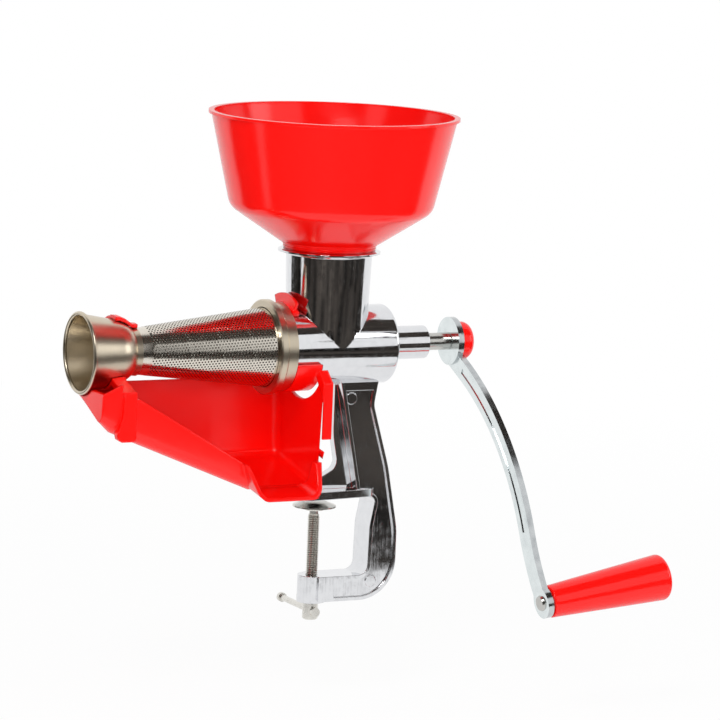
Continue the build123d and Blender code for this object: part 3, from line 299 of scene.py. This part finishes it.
cone = {  # mm and degrees
    "smallX": -167.0, "largeX": -49.7, "smallRadius": 17.8, "largeRadius": 31.8, "sheet": 0.9,
    "holeWidth": 1.5, "holeSides": 8, "pitch": 2.5, "bareSmall": 12.5, "bareLarge": 4.0, "bareSeam": 2.4,
    "flangeRadius": 33.6, "flangeThickness": 1.2, "seamTurn": 35, "arcSteps": 96, "sideSteps": 48,
    "sameLine": 0.00001,
}
coneTaper = atan2(cone["largeRadius"] - cone["smallRadius"], cone["largeX"] - cone["smallX"])
innerReach = cone["smallRadius"] / sin(coneTaper)  # from the flat sector's point
outerReach = cone["largeRadius"] / sin(coneTaper)
halfSector = pi * sin(coneTaper)
flatPoints, flatEdges, loopOfPoint = [], [], []


def drawLoop(points):
    # a closed line on the flat sheet: its outline first, then each hole
    first = len(flatPoints)
    loop = loopOfPoint[-1] + 1 if loopOfPoint else 0
    for i, point in enumerate(points):
        flatPoints.append(Vector(point))
        flatEdges.append((first + i, first + (i + 1) % len(points)))
        loopOfPoint.append(loop)


def sectorPoint(reach, turn):
    return (reach * cos(turn), reach * sin(turn))


def drawSheetOutline():
    arcSteps, sideSteps, depth = cone["arcSteps"], cone["sideSteps"], outerReach - innerReach
    outline = [sectorPoint(outerReach, halfSector * (2 * i / arcSteps - 1)) for i in range(arcSteps)]
    outline += [sectorPoint(outerReach - depth * i / sideSteps, halfSector) for i in range(sideSteps)]
    outline += [sectorPoint(innerReach, halfSector * (1 - 2 * i / arcSteps)) for i in range(arcSteps)]
    outline += [sectorPoint(innerReach + depth * i / sideSteps, -halfSector) for i in range(sideSteps)]
    drawLoop(outline)


def drawHole(x, y):
    radius, sides = cone["holeWidth"] / 2, cone["holeSides"]
    turns = [(k + 0.5) * 2 * pi / sides for k in range(sides)]
    drawLoop([(x + radius * cos(turn), y + radius * sin(turn)) for turn in turns])


def drawHoleRows():
    # staggered rows, and bare metal along the ends and the seam
    nearest, farthest = innerReach + cone["bareSmall"], outerReach - cone["bareLarge"]
    rowStep = cone["pitch"] * sqrt(3) / 2
    rowCount = int(outerReach * sin(halfSector) / rowStep) + 1
    firstColumn = int(innerReach * cos(halfSector) / cone["pitch"])
    lastColumn = int(outerReach / cone["pitch"])
    for row in range(-rowCount, rowCount + 1):
        y = row * rowStep
        for column in range(firstColumn, lastColumn + 1):
            x = (column + 0.5 * (row % 2)) * cone["pitch"]
            reach = hypot(x, y)
            sideRoom = (halfSector - abs(atan2(y, x))) * reach
            if nearest < reach < farthest and sideRoom > cone["bareSeam"]:
                drawHole(x, y)


def fillSheet():
    # triangles between the drawn lines, without those in a hole or beyond the small end
    filled = delaunay_2d_cdt(flatPoints, flatEdges, [], 0, cone["sameLine"])
    corners, triangles, drawnAs = filled[0], filled[2], filled[3]
    metal = []
    for triangle in triangles:
        loops = {loopOfPoint[drawnAs[i][0]] for i in triangle}
        middle = sum((corners[i] for i in triangle), Vector((0, 0))) / 3
        inHole = len(loops) == 1 and 0 not in loops
        if not inHole and middle.length > innerReach:
            metal.append(triangle)
    sheet = bpy.data.meshes.new("strainerSheet")
    sheet.from_pydata([(point.x, point.y, 0) for point in corners], [], metal)
    return sheet


def rollSheet(sheet):
    for vertex in sheet.vertices:
        reach = hypot(vertex.co.x, vertex.co.y)
        turn = atan2(vertex.co.y, vertex.co.x) / sin(coneTaper) + radians(cone["seamTurn"])
        radius = reach * sin(coneTaper) + vertex.co.z - cone["sheet"] / 2
        vertex.co = Vector((
            (cone["smallX"] + (reach - innerReach) * cos(coneTaper)) * mm,
            -radius * cos(turn) * mm, axisZ + radius * sin(turn) * mm,
        ))


def turnedRing(name, outline, steps=96):
    # a closed outline of (x, radius) in mm, spun about the auger axis
    mesh = bpy.data.meshes.new(name)
    piece = bpy.data.objects.new(name, mesh)
    bpy.context.scene.collection.objects.link(piece)
    corners = [(x * mm, 0, axisZ + radius * mm) for x, radius in outline]
    mesh.from_pydata(corners, [(i, (i + 1) % len(corners)) for i in range(len(corners))], [])
    selectOnly(piece)
    bpy.ops.object.mode_set(mode="EDIT")
    bpy.ops.mesh.select_all(action="SELECT")
    bpy.ops.mesh.spin(steps=steps, angle=2 * pi, center=(0, 0, axisZ), axis=(1, 0, 0))
    bpy.ops.object.mode_set(mode="OBJECT")
    closeMesh(0.001 * mm)
    return piece


drawSheetOutline()
drawHoleRows()
strainer = bpy.data.objects.new("strainerSheet", fillSheet())
bpy.context.scene.collection.objects.link(strainer)
selectOnly(strainer)
thickness = strainer.modifiers.new("sheet", "SOLIDIFY")
thickness.thickness = cone["sheet"]
thickness.offset = 0
bpy.ops.object.modifier_apply(modifier="sheet")
selectNothingInside()
for face in strainer.data.polygons:  # the two cut sides, which the seam welds together
    turns = [atan2(strainer.data.vertices[i].co.y, strainer.data.vertices[i].co.x) for i in face.vertices]
    face.select = all(abs(abs(turn) - halfSector) < cone["sameLine"] for turn in turns)
deleteSelected("ONLY_FACE")
rollSheet(strainer.data)
flangeBack = cone["largeX"] + cone["flangeThickness"]
flangeBore = cone["largeRadius"] - cone["sheet"]
flange = turnedRing("strainerFlange", [
    (cone["largeX"], flangeBore), (cone["largeX"], cone["flangeRadius"]),
    (flangeBack, cone["flangeRadius"]), (flangeBack, flangeBore),
])
selectOnly(strainer, flange)
bpy.ops.object.join()
closeMesh(0.002 * mm)
bpy.ops.object.shade_smooth_by_angle(angle=radians(30))
strainer.data.materials.clear()
strainer.data.materials.append(sieveSteel)
strainer.data.materials.append(sieveShadedInside)
for face in strainer.data.polygons:  # only the outer side is polished; the inside and the hole walls take the painted shade
    outward = Vector((0, face.center.y, face.center.z - axisZ)).normalized()
    face.material_index = 0 if face.normal.dot(outward) > 0.3 else 1
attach(strainer, "frame")
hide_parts("strainer_cone")
print("strainer sheet rolled:", len(strainer.data.polygons), "faces")


# clamp screw: a real M10 thread wrapped round a slimmer core

screw = {  # mm, but for the counts and the shares of one turn or of the thread's height
    "pitch": 1.5, "crest": 4.95, "root": 4.05, "core": 3.8, "crestShare": 0.14, "flankShare": 0.6,
    "low": -87.0, "high": -15.4, "around": 40, "rowsPerTurn": 10, "lead": 1.2, "leadInset": 0.2,
    "leadRise": 1.3, "shadedRootShare": 0.6,
}


def threadRadius(height, turn):
    # crest and root flats joined by 60 degree flanks, as a metric thread has them
    turnShare = (height / screw["pitch"] - turn / (2 * pi)) % 1.0
    awayFromCrest = abs(turnShare - 0.5) * 2
    downFlank = min(1.0, max(0.0, (awayFromCrest - screw["crestShare"]) / screw["flankShare"]))
    return screw["crest"] + (screw["root"] - screw["crest"]) * downFlank


stem = smoothCopy("clamp_screw", "screw", screwZinc)
for vertex in stem.data.vertices:
    if abs(hypot(vertex.co.x, vertex.co.y) - screw["crest"] * mm) < 0.02 * mm:
        vertex.co.x *= screw["core"] / screw["crest"]
        vertex.co.y *= screw["core"] / screw["crest"]
threadRows = int((screw["high"] - screw["low"]) / screw["pitch"] * screw["rowsPerTurn"])
bpy.ops.object.select_all(action="DESELECT")
bpy.ops.mesh.primitive_grid_add(x_subdivisions=screw["around"], y_subdivisions=threadRows, size=2)
thread = bpy.context.object
thread.name = "screwThread"
for vertex in thread.data.vertices:
    turn = pi * vertex.co.x
    height = screw["low"] + (vertex.co.y + 1) / 2 * (screw["high"] - screw["low"])
    fromEnd = min(height - screw["low"], screw["high"] - height)
    leadRadius = screw["core"] - screw["leadInset"] + fromEnd / screw["lead"] * screw["leadRise"]
    radius = min(threadRadius(height, turn), leadRadius)
    vertex.co = Vector((radius * cos(turn) * mm, radius * sin(turn) * mm, height * mm))
selectOnly(thread)
closeMesh(0.001 * mm, capEnds=True)
bpy.ops.object.shade_smooth_by_angle(angle=radians(50))
thread.data.materials.append(screwZinc)
thread.data.materials.append(threadRootShade)
shadedRootTop = screw["root"] * screw["shadedRootShare"] + screw["crest"] * (1 - screw["shadedRootShare"])
# faces low in the thread's roots take the painted shade
for face in thread.data.polygons:
    if hypot(face.center.x, face.center.y) < shadedRootTop * mm:
        face.material_index = 1
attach(thread, "screw")
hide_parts("clamp_screw")
print("thread wound:", len(thread.data.polygons), "faces")


# casting: the tube runs down the barrel's side to a point

castingSkin = bpy.data.objects["body_casting_skin"]
sameHeight = 0.05  # mm
tube = {"foot": 8.0, "halfWidth": 9.4, "barrel": 31.8, "sideFrom": 30.85}  # mm
for vertex in castingSkin.data.vertices:
    height = (vertex.co.z - axisZ) / mm
    away = abs(vertex.co.x - inletX) / mm
    onFoot = abs(height - tube["foot"]) < sameHeight and abs(vertex.co.y) > tube["sideFrom"] * mm
    if onFoot and away < tube["halfWidth"]:
        drop = tube["foot"] * away / tube["halfWidth"]
        reach = sqrt(tube["barrel"] ** 2 - drop ** 2) * mm
        vertex.co = Vector((vertex.co.x, reach if vertex.co.y > 0 else -reach, axisZ + drop * mm))

# leg of the casting: its recess is a shallow one, so that its rim reads as a thin line

recess = {"floor": 9.5, "disc": 10.1, "raise": 2.2, "top": 90.0, "front": 10.0}  # mm
for vertex in castingSkin.data.vertices:
    depth = abs(vertex.co.y) / mm
    inRecess = recess["floor"] - sameHeight < depth < recess["disc"] + sameHeight
    if inRecess and vertex.co.z < recess["top"] * mm and vertex.co.x > recess["front"] * mm:
        vertex.co.y += recess["raise"] * mm * (1 if vertex.co.y > 0 else -1)

# crank arm: the sheared rim of the strip is patchier than its plated faces

armLean = radians(8.1)
leanNormal = Vector((cos(armLean), 0, sin(armLean)))
armSkin = bpy.data.objects["crank_arm_skin"]
armSkin.data.materials.append(shearedEdge)
for face in armSkin.data.polygons:
    if abs(face.normal.dot(leanNormal)) < 0.6:
        face.material_index = 1
print("casting and arm touched up")


# studio: white floor and backdrop, soft lamps and dark cards that metal reflects

studio = {  # metres, and degrees round the object from the camera
    "floorHeight": -0.17, "floorSize": 24.0, "nearWhite": 0.93, "fadeFrom": 0.2, "fadeTo": 1.6,
    "skyDiffuse": 0.6, "cameraAzimuth": -26.85,
    "roomRadius": 2.4, "roomFoot": -4, "roomLeft": -104, "roomRight": 103,
    "rightWindow": (34, 66, 2, 38), "leftWindow": (-52, -32, 8, 36),  # from, to, low, high in degrees
    "tableReach": 0.58, "carpetLeft": -119, "carpetRight": 113, "carpetStrips": 207, "floorSlit": (-79, -71),
    "paperPatch": 25, "foldWidth": 454.5, "foldHeight": 3333,  # mm
}
studioLamps = {  # watts and metres; metal doesn't mirror the front lamp
    "keyLamp": {"power": 8.0, "size": 0.5, "place": (-0.75, -0.95, 1.15), "shines": True},
    "fillLamp": {"power": 4.0, "size": 0.7, "place": (1.3, -0.9, 0.5), "shines": True},
    "frontLamp": {"power": 16.0, "size": 0.9, "place": (-0.9, -1.9, 0.55), "shines": False},
}


def paperSweep():
    # matt white paper that shows the object's shadow and fades into its backdrop
    material, tree, shader, place = startMaterial("whitePaperSweep")
    paper = addNode(tree, "ShaderNodeTexNoise", None,
                    {"Scale": perSize(studio["paperPatch"]), "Detail": 2.0}, {"Vector": place})
    tintAndGloss(tree, shader, paper.outputs["Fac"], ("#F6F6F6", "#FAFAFA"), paper.outputs["Fac"], (0.9, 0.9))
    seen = addNode(tree, "ShaderNodeLightPath")
    glow = addNode(tree, "ShaderNodeEmission", None, {"Color": (1, 1, 1, 1), "Strength": 1.0})
    direct = addNode(tree, "ShaderNodeMath", {"operation": "MAXIMUM"}, None,
                     {0: seen.outputs["Is Camera Ray"], 1: seen.outputs["Is Glossy Ray"]})
    away = addNode(tree, "ShaderNodeVectorMath", {"operation": "LENGTH"}, None, {"Vector": place})
    white = addNode(tree, "ShaderNodeMapRange", None, {
        "From Min": studio["fadeFrom"], "From Max": studio["fadeTo"],
        "To Min": studio["nearWhite"], "To Max": 1.0,
    }, {"Value": away.outputs["Value"]})
    glowShare = addNode(tree, "ShaderNodeMath", {"operation": "MULTIPLY"}, None,
                        {0: direct.outputs[0], 1: white.outputs["Result"]})
    blend = addNode(tree, "ShaderNodeMixShader", None, None,
                    {0: glowShare.outputs[0], 1: shader.outputs["BSDF"], 2: glow.outputs["Emission"]})
    tree.links.new(blend.outputs["Shader"], tree.nodes["Material Output"].inputs["Surface"])
    return material


def flagCloth():
    # black flag cloth on a frame: no shine, and its wide folds are a little greyer
    material, tree, shader, place = startMaterial("blackFlagCloth")
    across, down = perSize(studio["foldWidth"]), perSize(studio["foldHeight"])
    stretch = addNode(tree, "ShaderNodeMapping", None, {"Scale": (across, across, down)}, {"Vector": place})
    folds = addNode(tree, "ShaderNodeTexNoise", None,
                    {"Scale": 1.0, "Detail": 1.0}, {"Vector": stretch.outputs["Vector"]})
    depth = addNode(tree, "ShaderNodeMapRange", None, {"From Min": 0.35, "From Max": 0.65},
                    {"Value": folds.outputs["Fac"]})
    tintAndGloss(tree, shader, depth.outputs["Result"], ("#121110", "#4E4843"),
                 depth.outputs["Result"], (0.95, 0.95))
    shader.inputs["Specular IOR Level"].default_value = 0.05
    return material


bpy.ops.mesh.primitive_plane_add(size=studio["floorSize"], location=(0, 0, studio["floorHeight"]))
floor = bpy.context.object
floor.name = "studioFloor"
floor.data.materials.append(paperSweep())

cardMaterial = flagCloth()


def darkCard(card):
    # a black flag out of the picture, which polished metal reflects as a dark band
    card.data.materials.append(cardMaterial)
    card.visible_camera = False
    card.visible_diffuse = False
    card.visible_shadow = False


def fromCamera(point):
    # degrees round the object from the camera's side, positive to its right
    turn = atan2(point.x, -point.y) - radians(studio["cameraAzimuth"])
    return (degrees(turn) + 180) % 360 - 180


bpy.ops.object.select_all(action="DESELECT")
bpy.ops.mesh.primitive_uv_sphere_add(segments=180, ring_count=90, radius=studio["roomRadius"])
room = bpy.context.object
room.name = "darkRoom"
bpy.ops.object.mode_set(mode="EDIT")
bpy.ops.mesh.select_mode(type="FACE")
bpy.ops.object.mode_set(mode="OBJECT")
selectNothingInside()
for face in room.data.polygons:
    side = fromCamera(face.center)
    rise = degrees(atan2(face.center.z, hypot(face.center.x, face.center.y)))
    face.select = rise < studio["roomFoot"] or not studio["roomLeft"] < side < studio["roomRight"]
    for first, last, low, high in (studio["rightWindow"], studio["leftWindow"]):
        if first < side < last and low < rise < high:
            face.select = True
deleteSelected("FACE")
darkCard(room)

bpy.ops.mesh.primitive_grid_add(x_subdivisions=studio["carpetStrips"], y_subdivisions=1, size=2)
carpet = bpy.context.object
carpet.name = "darkFloorAhead"
selectNothingInside()
for vertex in carpet.data.vertices:  # the grid bent to a ring just above the floor
    sideShare = (vertex.co.x + 1) / 2
    side = studio["carpetLeft"] + sideShare * (studio["carpetRight"] - studio["carpetLeft"])
    turn = radians(side + studio["cameraAzimuth"])
    reach = studio["tableReach"] if vertex.co.y < 0 else studio["roomRadius"]
    vertex.co = Vector((reach * sin(turn), -reach * cos(turn), studio["floorHeight"] + 2 * mm))
for face in carpet.data.polygons:
    face.select = studio["floorSlit"][0] < fromCamera(face.center) < studio["floorSlit"][1]
deleteSelected("FACE")
darkCard(carpet)


def whiteSky(world):
    # white to the camera, in reflections and through glass, and softer as a light
    world.use_nodes = True
    tree = world.node_tree
    sky = tree.nodes["Background"]
    sky.inputs["Color"].default_value = (1, 1, 1, 1)
    seen = addNode(tree, "ShaderNodeLightPath")
    direct = addNode(tree, "ShaderNodeMath", {"operation": "MAXIMUM"}, None,
                     {0: seen.outputs["Is Camera Ray"], 1: seen.outputs["Is Glossy Ray"]})
    shown = addNode(tree, "ShaderNodeMath", {"operation": "MAXIMUM"}, None,
                    {0: direct.outputs[0], 1: seen.outputs["Is Transmission Ray"]})
    strength = addNode(tree, "ShaderNodeMapRange", None, {"To Min": studio["skyDiffuse"], "To Max": 1.0},
                       {"Value": shown.outputs[0]})
    tree.links.new(strength.outputs["Result"], sky.inputs["Strength"])


bpy.context.scene.world = bpy.data.worlds.new("whiteStudio")
whiteSky(bpy.context.scene.world)

lampAim = Vector((0.02, 0, 0.12))
for lampName, setting in studioLamps.items():
    lamp = bpy.data.lights.new(lampName, "AREA")
    lamp.energy = setting["power"]
    lamp.size = setting["size"]
    holder = bpy.data.objects.new(lampName, lamp)
    bpy.context.scene.collection.objects.link(holder)
    holder.location = setting["place"]
    holder.visible_glossy = setting["shines"]
    holder.rotation_euler = (lampAim - Vector(setting["place"])).to_track_quat("-Z", "Y").to_euler()

# camera as fitted to the picture: long lens, from the front left and a little above
view = {
    "azimuth": -26.85, "elevation": 8.62, "roll": 2.34, "sensor": 36, "farthest": 50,
    "distance": 3.5, "target": (0.0359, 0, 0.1095), "focalPixels": 4358, "imagePixels": 720,
}
across = radians(view["azimuth"])
above = radians(view["elevation"])
rolled = radians(view["roll"])
back = Vector((sin(across) * cos(above), -cos(across) * cos(above), sin(above)))
right = Vector((cos(across), sin(across), 0))
up = back.cross(right)
cameraRight = right * cos(rolled) + up * sin(rolled)
cameraUp = up * cos(rolled) - right * sin(rolled)
eye = Vector(view["target"]) + back * view["distance"]
lens = bpy.data.cameras.new("viewCamera")
lens.sensor_width = view["sensor"]
lens.lens = view["sensor"] * view["focalPixels"] / view["imagePixels"]
lens.clip_end = view["farthest"]
camera = bpy.data.objects.new("viewCamera", lens)
bpy.context.scene.collection.objects.link(camera)
camera.matrix_world = Matrix([
    (cameraRight.x, cameraUp.x, back.x, eye.x),
    (cameraRight.y, cameraUp.y, back.y, eye.y),
    (cameraRight.z, cameraUp.z, back.z, eye.z),
    (0, 0, 0, 1),
])
bpy.context.scene.camera = camera
bpy.context.scene.view_settings.view_transform = "Standard"
print("studio ready")
